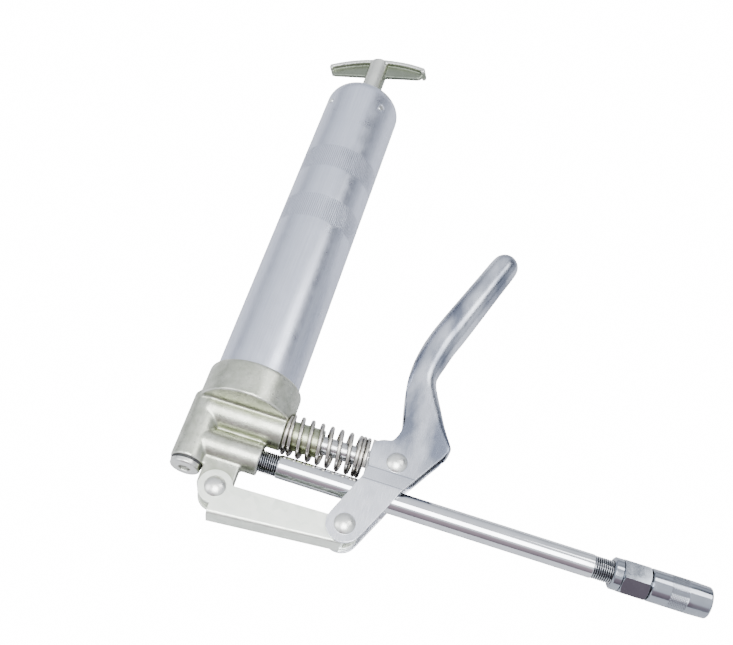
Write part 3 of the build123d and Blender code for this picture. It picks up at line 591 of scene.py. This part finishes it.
# --- Spout pipe -------------------------------------------------------------------------------
# Chromed 1/8 inch pipe. A few turns of its thread show where it leaves each screwed joint.
PIPE_R = (pipe_high[1] - pipe_low[1]) / 2 / MM
PIPE_START = from_crossing(pipe_low)[0]
PIPE_END = from_crossing(pipe_high)[0]
PIPE_BORE = 2.5
COUPLER_X = from_crossing(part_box("coupler_body")[0])[0]
THREADS = ((13.0, 22.0), (COUPLER_X - 8.5, COUPLER_X + 0.6))
THREAD_PITCH = 0.907
THREAD_CREST = PIPE_R - 0.15
THREAD_DEPTH = 0.6
RINGS_A_TURN = 6
END_R = PIPE_R - 0.55         # the hidden ends, inside their joints
SKIN_R = PIPE_R - 0.02
pipe_outside = [(END_R, PIPE_START)]
for start, end in THREADS:
    steps = int((end - start) / THREAD_PITCH * RINGS_A_TURN)
    pipe_outside += [(SKIN_R, start + (end - start) * step / steps) for step in range(steps + 1)]
pipe_outside.insert(1, (END_R, THREADS[0][0] - 0.2))
pipe_outside += [(END_R, THREADS[1][1] + 0.2), (END_R, PIPE_END)]
pipe = lathe("spout", 96, pipe_outside + [(PIPE_BORE, PIPE_END), (PIPE_BORE, PIPE_START)])
for vertex in pipe.data.vertices:
    x, y, height = [value / MM for value in vertex.co]
    radius = hypot(x, y)
    if radius < PIPE_R - 0.3:
        continue
    for start, end in THREADS:
        if start - 0.01 <= height <= end + 0.01:
            phase = 2 * pi * height / THREAD_PITCH - atan2(y, x)
            runout = min(1.0, (end - height) / THREAD_PITCH, (height - start) / THREAD_PITCH)
            cut = PIPE_R - THREAD_CREST + THREAD_DEPTH * (0.5 - 0.5 * cos(phase))
            scale = 1 - max(0.0, runout) * cut / radius
            vertex.co.x *= scale
            vertex.co.y *= scale
# painted shade darkens the roots of its threads
pipe_chrome = chrome.copy()
pipe_chrome.name = "threaded_chrome"
tone_in(pipe_chrome, off_axis(pipe_chrome.node_tree, (0, 1, 1), PIPE_R - 0.6, PIPE_R - 0.2, 0.85), "#3f4247")
fit(pipe, pipe_chrome, "spout_pipe", ALONG_SPOUT, 50)

# --- Coupler body ------------------------------------------------------------------------------
# Turned from hexagon bar and chromed: a round neck, the hexagon with its corners turned
# off at both ends, and the spigot inside the sleeve.
body_low, body_high = [from_crossing(corner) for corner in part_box("coupler_body")]
NECK_LEN = 4.1
NECK_R = 6.9
HEX_LEN = 11.8
HEX_FLATS = 14.0
HEX_TURN = 52
HEX_CHAMFER = 0.9
SPIGOT_R = 5.6
SPIGOT_BORE_R = 4.2
NECK_BORE_R = 5.1
NECK_CHAMFER = 0.7
NECK_STEP = 0.35
LAP = 0.2                     # how far the neck and spigot run into the hexagon
hex_start = body_low[0] + NECK_LEN
hex_end = hex_start + HEX_LEN
bpy.ops.object.select_all(action="DESELECT")
bpy.ops.mesh.primitive_cylinder_add(
    vertices=6, radius=HEX_FLATS / sqrt(3) * MM, depth=HEX_LEN * MM,
    location=(0, 0, (hex_start + hex_end) / 2 * MM),
)
hexagon = bpy.context.object
bpy.ops.object.transform_apply(location=True, rotation=True, scale=True)
corner_r = HEX_FLATS / sqrt(3)
turned = lathe("coupler_body_turned", 96, [
    (HEX_FLATS / 2 - 0.2, hex_start), (corner_r + 0.1, hex_start + HEX_CHAMFER),
    (corner_r + 0.1, hex_end - HEX_CHAMFER), (HEX_FLATS / 2 - 0.2, hex_end),
    (0.05, hex_end), (0.05, hex_start),
])
shape_with(hexagon, "BOOLEAN", operation="INTERSECT", object=turned, solver="EXACT")
bpy.data.objects.remove(turned)
neck = lathe("coupler_neck", 96, [
    (NECK_BORE_R, body_low[0]), (NECK_R - NECK_CHAMFER, body_low[0]),
    (NECK_R, body_low[0] + NECK_CHAMFER), (NECK_R, hex_start - NECK_STEP),
    (NECK_R - NECK_STEP, hex_start), (NECK_R - NECK_STEP, hex_start + LAP), (NECK_BORE_R, hex_start + LAP),
])
spigot = lathe("coupler_spigot", 96, [
    (SPIGOT_R - 0.1, hex_end - LAP), (SPIGOT_R - 0.1, body_high[0]),
    (SPIGOT_BORE_R, body_high[0]), (SPIGOT_BORE_R, hex_end - LAP),
])
bpy.ops.object.select_all(action="DESELECT")
for piece in (neck, spigot, hexagon):
    piece.select_set(True)
bpy.context.view_layer.objects.active = hexagon
bpy.ops.object.join()
hexagon.name = "coupler_hexagon"
shape_with(hexagon, "BEVEL", width=0.12 * MM, segments=2, limit_method="ANGLE", angle_limit=radians(28))
# the coupler's chrome is greyer than the pipe's
grey_chrome = chrome.copy()
grey_chrome.name = "grey_chrome"
tree = grey_chrome.node_tree
shader = tree.nodes["Principled BSDF"]
plate = shader.inputs["Base Color"].links[0].from_socket
tree.links.new(mixed(tree, 1.0, plate, srgb("#c2c6cc"), "MULTIPLY"), shader.inputs["Base Color"])
# a corner of the hexagon faces up and back: the primitive's first corner is on its own y
hexagon.data.transform(Matrix.Rotation(radians(HEX_TURN), 4, "Z"))
fit(hexagon, grey_chrome, "coupler_body", ALONG_SPOUT, 28)

# --- Coupler sleeve --------------------------------------------------------------------------
# The chromed sleeve that is turned to work the jaws, with a band of diamond knurling.
sleeve_low, sleeve_high = [from_crossing(corner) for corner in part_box("coupler_sleeve")]
SLEEVE_R = 7.05
TIP_R = 6.8
TIP_TAPER = 8.0
MOUTH_R = 4.15
KNURL = (194.2, 201.8)
KNURL_ROWS = 28
KNURL_COLUMNS = 144
KNURL_DEPTH = 0.2
TIP_ROUND = 1.2
LIP = 0.95                    # length of the mouth in front of the jaws
sleeve_outside = [
    (SLEEVE_R - 0.4, sleeve_low[0]), (SLEEVE_R, sleeve_low[0] + 0.4),
    (SLEEVE_R, KNURL[0] - 0.8), (SLEEVE_R, KNURL[0] - 0.4),
]
sleeve_outside += [
    (SLEEVE_R, KNURL[0] + (KNURL[1] - KNURL[0]) * row / KNURL_ROWS) for row in range(KNURL_ROWS + 1)
]
sleeve_outside += [
    (SLEEVE_R, KNURL[1] + 0.4), (SLEEVE_R, KNURL[1] + 0.8), (SLEEVE_R, sleeve_high[0] - TIP_TAPER),
]
round_turns = [radians(turn) for turn in range(0, 91, 15)]
sleeve_outside += [
    (TIP_R - TIP_ROUND + TIP_ROUND * cos(turn), sleeve_high[0] - TIP_ROUND + TIP_ROUND * sin(turn))
    for turn in round_turns
]
sleeve = lathe("coupler_sleeve_turned", KNURL_COLUMNS, sleeve_outside + [
    (MOUTH_R + 0.4, sleeve_high[0]), (MOUTH_R, sleeve_high[0] - 0.4), (MOUTH_R, sleeve_high[0] - LIP),
    (SPIGOT_R + 0.05, sleeve_high[0] - LIP), (SPIGOT_R + 0.05, sleeve_low[0]),
])
for vertex in sleeve.data.vertices:
    x, y, height = [value / MM for value in vertex.co]
    radius = hypot(x, y)
    if radius > SLEEVE_R - 0.05 and KNURL[0] + 0.1 < height < KNURL[1] - 0.1:
        row = round((height - KNURL[0]) / (KNURL[1] - KNURL[0]) * KNURL_ROWS)
        column = round(atan2(y, x) / (2 * pi) * KNURL_COLUMNS)
        if (row + column) % 4 == 0 or (row - column) % 4 == 0:
            vertex.co.x *= 1 - KNURL_DEPTH / radius
            vertex.co.y *= 1 - KNURL_DEPTH / radius
fit(sleeve, grey_chrome, "coupler_sleeve", ALONG_SPOUT, 24)


# --- Return spring, follower spring and valve spring ---------------------------------------
# Coiled from drawn wire; the return and follower springs have their ends wound closed.
STEPS_A_TURN = 28


def wire_coil(name, knots, radius, wire, first_turn, axis):
    """A coil about the spout (axis 0) or the barrel (axis 1): knots are (turns, place along it) in mm."""
    curve = bpy.data.curves.new(name, "CURVE")
    curve.dimensions = "3D"
    curve.bevel_depth = wire * MM
    curve.bevel_resolution = 3
    curve.use_fill_caps = True
    steps = int((knots[-1][0] - knots[0][0]) * STEPS_A_TURN)
    spline = curve.splines.new("POLY")
    spline.points.add(steps)
    for step in range(steps + 1):
        turns = knots[0][0] + (knots[-1][0] - knots[0][0]) * step / steps
        low, high = next(pair for pair in zip(knots, knots[1:]) if turns <= pair[1][0] + 1e-6)
        share = (turns - low[0]) / (high[0] - low[0])
        place = low[1] + (high[1] - low[1]) * share
        angle = radians(first_turn) + 2 * pi * turns
        side, rise = radius * cos(angle), radius * sin(angle)
        point = (place, side, rise) if axis == 0 else (side, place, rise)
        spline.points[step].co = (point[0] * MM, point[1] * MM, point[2] * MM, 1)
    coil = bpy.data.objects.new(name, curve)
    bpy.context.scene.collection.objects.link(coil)
    pick(coil)
    bpy.ops.object.convert(target="MESH")
    return bpy.context.object


PUMP_RISE = 15.6
WIRE_R = 0.95
RETURN_R = 8.3
RETURN_FIRST_TURN = 31.8
spring_low, spring_high = [from_crossing(corner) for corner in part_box("return_spring")]
return_knots = [
    (-0.95, spring_low[0] + WIRE_R), (-0.15, spring_low[0] + WIRE_R + 0.5), (0.85, 25.0), (7.0, 52.1),
    (7.9, spring_high[0] - WIRE_R - 2.7), (9.3, spring_high[0] - WIRE_R),
]
return_coil = wire_coil("return_coil", return_knots, RETURN_R, WIRE_R, RETURN_FIRST_TURN, 0)
return_coil.data.transform(Matrix.Translation((0, PUMP_RISE * MM, 0)))
fit(return_coil, spring_steel, "return_spring", None, 60)
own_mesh(return_coil)

coil_low, coil_high = [from_crossing(corner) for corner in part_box("follower_spring")]
follower_wire = 0.8
follower_knots = [
    (0.0, coil_low[1] + follower_wire), (1.0, coil_low[1] + 3 * follower_wire),
    (17.0, coil_high[1] - 3 * follower_wire), (18.0, coil_high[1] - follower_wire),
]
follower_coil = wire_coil(
    "follower_coil", follower_knots, (coil_high[0] - coil_low[0]) / 2 - follower_wire, follower_wire, 0, 1
)
fit(follower_coil, spring_steel, "follower_spring", None, 60)
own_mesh(follower_coil)

valve_low, valve_high = [from_crossing(corner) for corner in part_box("check_spring")]
valve_wire = 0.35
valve_coil = wire_coil(
    "valve_coil", [(0.0, valve_low[1] + valve_wire), (3.0, valve_high[1] - valve_wire)], 2.4, valve_wire, 0, 1
)
valve_coil.data.transform(Matrix.Translation(((valve_low[0] + valve_high[0]) / 2 * MM, 0, 0)))
fit(valve_coil, spring_steel, "check_spring", None, 60)
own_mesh(valve_coil)

# --- Link --------------------------------------------------------------------------------
# A channel folded from galvanised sheet, with a rounded ear at each pivot. The two folds
# along its back have a bend radius; its cut edges are only broken.
FOLD_R = 1.9
LONG_EDGE = 40
BACK_BELOW = -25
link = merged_copy("link_arm", "folded_link")
edit(link, (bpy.ops.mesh.dissolve_limited, {"angle_limit": radians(1.0)}))
link_half = from_crossing(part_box("link_arm")[1])[2]
bpy.ops.object.mode_set(mode="EDIT")
bpy.ops.mesh.select_all(action="DESELECT")
bpy.ops.mesh.select_mode(type="EDGE")
bpy.ops.object.mode_set(mode="OBJECT")
for edge in link.data.edges:
    ends = [from_crossing(link.data.vertices[index].co) for index in edge.vertices]
    long_way = abs(ends[0][0] - ends[1][0]) > LONG_EDGE
    outer = all(abs(abs(end[2]) - link_half) < 0.05 for end in ends)
    edge.select = long_way and outer and all(end[1] < BACK_BELOW for end in ends)
bpy.ops.object.mode_set(mode="EDIT")
bpy.ops.mesh.bevel(offset=FOLD_R * MM, segments=6, affect="EDGES")
bpy.ops.object.mode_set(mode="OBJECT")
shape_with(link, "BEVEL", width=0.22 * MM, segments=2, limit_method="ANGLE", angle_limit=radians(50))
take_over(link, galvanised, "link_arm", 30)

# --- Lever -----------------------------------------------------------------------------------
# One pressed and plated sheet. Two flat legs stand astride the link, step in above the
# creases, are joined by a web along the back of the neck, and roll into a closed round grip.
PIVOT_C = Vector((55.9, -18.1))
PIVOT_B = Vector((69.6, PUMP_RISE))
LEG_R = 8.0
LEG_OUTER = 7.4
NECK_OUTER = 6.0
SHEET_T = 1.7
FOLD = 3.4
up_leg = (PIVOT_B - PIVOT_C).normalized()
across_leg = Vector((up_leg.y, -up_leg.x))
# rows up the lever: left edge, right edge, half thickness, share of roundness
rows = []
for turn in (10, 25, 40, 55, 70, 85):
    foot = PIVOT_C - up_leg * LEG_R * cos(radians(turn))
    half = across_leg * LEG_R * sin(radians(turn))
    rows.append((foot - half, foot + half, LEG_OUTER, 0.0))
rows += [
    (Vector((50.7, -10.2)), Vector((67.6, -12.0)), LEG_OUTER, 0.0),
    (Vector((53.6, -3.6)), Vector((71.0, -5.2)), LEG_OUTER, 0.0),
    (Vector((56.0, 2.5)), Vector((74.2, 2.2)), LEG_OUTER, 0.0),
    (Vector((56.5, 3.6)), Vector((74.9, 3.6)), LEG_OUTER, 0.0),
    (Vector((57.0, 4.8)), Vector((75.6, 4.8)), LEG_OUTER - 0.24, 0.0),
    (Vector((58.2, 9.6)), Vector((78.4, 9.6)), NECK_OUTER + 0.24, 0.0),
    (Vector((58.2, 10.9)), Vector((79.3, 10.9)), NECK_OUTER, 0.0),
    (Vector((58.0, 12.0)), Vector((80.0, 12.0)), NECK_OUTER, 0.0),
    (Vector((57.2, 16.6)), Vector((82.9, 16.6)), NECK_OUTER, 0.0),
    (Vector((57.2, 19.4)), Vector((84.9, 19.9)), NECK_OUTER, 0.0),
    (Vector((58.0, 21.7)), Vector((86.2, 21.9)), NECK_OUTER, 0.0),
    (Vector((59.7, 23.5)), Vector((87.2, 23.4)), NECK_OUTER, 0.0),
    (Vector((62.3, 24.5)), Vector((88.0, 24.7)), NECK_OUTER, 0.0),
    (Vector((64.9, 24.7)), Vector((88.7, 25.8)), NECK_OUTER, 0.0),
    (Vector((66.1, 26.6)), Vector((89.6, 27.2)), NECK_OUTER, 0.0),
    (Vector((67.2, 29.4)), Vector((90.9, 28.9)), NECK_OUTER, 0.01),
    (Vector((67.9, 32.8)), Vector((91.0, 30.6)), NECK_OUTER, 0.02),
    (Vector((68.1, 36.0)), Vector((89.0, 34.4)), NECK_OUTER, 0.07),
    (Vector((67.2, 40.5)), Vector((86.2, 39.6)), NECK_OUTER, 0.16),
    (Vector((66.0, 46.0)), Vector((83.4, 46.0)), NECK_OUTER, 0.30),
    (Vector((64.8, 53.0)), Vector((80.2, 53.0)), NECK_OUTER, 0.48),
    (Vector((64.1, 58.5)), Vector((77.6, 58.5)), NECK_OUTER + 0.1, 0.63),
    (Vector((63.9, 62.6)), Vector((76.7, 62.6)), NECK_OUTER + 0.4, 0.75),
    (Vector((64.2, 67.8)), Vector((77.7, 66.8)), NECK_OUTER + 0.8, 0.84),
    (Vector((65.0, 74.0)), Vector((79.4, 72.0)), NECK_OUTER + 1.3, 0.96),
]
WEB_FROM = 20
GRIP_BEND = Vector((72.2, 76.0))
GRIP_TIP = Vector((93.6, 135.4))
up_grip = (GRIP_TIP - GRIP_BEND).normalized()
across_grip = Vector((up_grip.y, -up_grip.x))
grip_len = (GRIP_TIP - GRIP_BEND).length
GRIP_END_R = 7.0
grip_radii = (
    (5.5, 7.5), (12.0, 7.7), (19.0, 7.7), (30.0, 7.5), (42.0, 7.25), (53.0, 7.05), (grip_len, GRIP_END_R),
)
for along, radius in grip_radii:
    middle = GRIP_BEND + up_grip * along
    rows.append((middle - across_grip * radius, middle + across_grip * radius, radius, 1.0))
for turn in (25, 48, 68, 90):
    middle = GRIP_TIP + up_grip * GRIP_END_R * sin(radians(turn))
    radius = GRIP_END_R * cos(radians(turn)) if turn < 90 else 0.0
    rows.append((middle - across_grip * radius, middle + across_grip * radius, radius, 1.0))
COLUMNS = 8
bpy.ops.object.select_all(action="DESELECT")
bpy.ops.mesh.primitive_grid_add(x_subdivisions=COLUMNS, y_subdivisions=len(rows) - 1, size=2)
lever = bpy.context.object
lever.name = "pressed_lever"
no_web = []
for vertex in lever.data.vertices:
    column = round((vertex.co.x + 1) / 2 * COLUMNS)
    row = round((vertex.co.y + 1) / 2 * (len(rows) - 1))
    left, right, half, roundness = rows[row]
    width = (right - left).length
    fold = min(FOLD, 0.5 + 0.7 * (row - WEB_FROM)) if row >= WEB_FROM else 0.0
    flat = min(column, 5) / 5 * (width - fold)
    square = {6: (width - fold * 0.27, half - fold * 0.27), 7: (width, half - fold), 8: (width, 0.0)}
    place, level = square.get(column, (flat, half))
    angle = pi * (1 - column / COLUMNS)
    round_place = width / 2 * (1 + cos(angle))
    round_level = half * sin(angle)
    place += (round_place - place) * roundness
    level += (round_level - level) * roundness
    if roundness == 1.0 and column in (0, COLUMNS):
        level = 0.0
    side = (right - left).normalized() if width > 0.01 else across_grip
    spot = left + side * place
    vertex.co = Vector((spot.x, spot.y, level)) * MM
    if row < WEB_FROM and column > 5:
        no_web.append(vertex.index)
# below the neck there is no web, only the two legs
bpy.ops.object.mode_set(mode="EDIT")
bpy.ops.mesh.select_mode(type="VERT")
bpy.ops.mesh.select_all(action="DESELECT")
bpy.ops.object.mode_set(mode="OBJECT")
for index in no_web:
    lever.data.vertices[index].select = True
bpy.ops.object.mode_set(mode="EDIT")
bpy.ops.mesh.delete(type="VERT")
bpy.ops.object.mode_set(mode="OBJECT")
shape_with(
    lever, "MIRROR", use_axis=(False, False, True), use_mirror_merge=True, merge_threshold=0.02 * MM
)
edit(
    lever,
    (bpy.ops.mesh.remove_doubles, {"threshold": 0.01 * MM}),
    (bpy.ops.mesh.normals_make_consistent, {"inside": False}),
)
# the cheek's flat has to face out before the sheet is given its thickness
cheek = max(lever.data.polygons, key=lambda face: face.center.z * 1000 - abs(face.center.y - 0.01) * 100)
if cheek.normal.z < 0:
    edit(lever, (bpy.ops.mesh.flip_normals, {}))
shape_with(lever, "SUBSURF", levels=3)
shape_with(lever, "SOLIDIFY", thickness=SHEET_T * MM, offset=-1.0, use_even_offset=True)
shape_with(lever, "BEVEL", width=0.3 * MM, segments=2, limit_method="ANGLE", angle_limit=radians(55))
fit(lever, plated_sheet, "lever", None, 40)

# --- Rivets -------------------------------------------------------------------------------------
# Three plated rivets with wide, low domes on both sides: link to head, lever to link,
# and lever to rod.
RIVET_R = 4.6
RIVET_DOME = 2.1
PIN_R = 2.98
PIVOT_A = Vector((0.0, -19.0))
LINK_OUTER = 5.4
DOME_RISE = RIVET_DOME - 0.3
DOME_STEPS = 10
for name, node, pivot, half in (
    ("rivet_link", "link_pin", PIVOT_A, LINK_OUTER),
    ("rivet_lever", "lever_pin", PIVOT_C, LEG_OUTER),
    ("rivet_rod", "rod_pin", PIVOT_B, NECK_OUTER),
):
    dome_r = (RIVET_R**2 + DOME_RISE**2) / (2 * DOME_RISE)
    lean = atan2(RIVET_R, dome_r - DOME_RISE)
    turns = [lean * step / DOME_STEPS for step in range(DOME_STEPS + 1)]
    dome = [
        (max(dome_r * sin(turn), 0.001), half + RIVET_DOME - dome_r * (1 - cos(turn))) for turn in turns
    ]
    shank = [(RIVET_R, half + 0.02), (PIN_R, half + 0.02)]
    one_side = dome + shank
    rivet = lathe(name, 64, one_side + [(radius, -height) for radius, height in one_side[::-1]], closed=False)
    rivet.data.transform(Matrix.Translation((pivot.x * MM, pivot.y * MM, 0)))
    fit(rivet, bright_zinc, node, None, 50)

# --- Stakes, rods and the parts inside -------------------------------------------------------
# These keep their CAD shapes and only take their finishes: stakes and screws in bright zinc,
# rods, ball and jaws ground, the rod guide and follower plate galvanised, seals in rubber.
for finish, nodes in (
    (bright_zinc, ("end_stakes", "follower_nut")),
    (ground_steel, ("piston_rod", "follower_rod", "check_ball", "coupler_jaws")),
    (galvanised, ("rod_guide", "follower_plate")),
    (spring_steel, ("coupler_spring",)),
    (rubber, ("plug_seal", "barrel_gasket", "follower_cup", "coupler_seal")),
):
    for node in nodes:
        frame["nodes"][node].data.materials.clear()
        frame["nodes"][node].data.materials.append(finish)
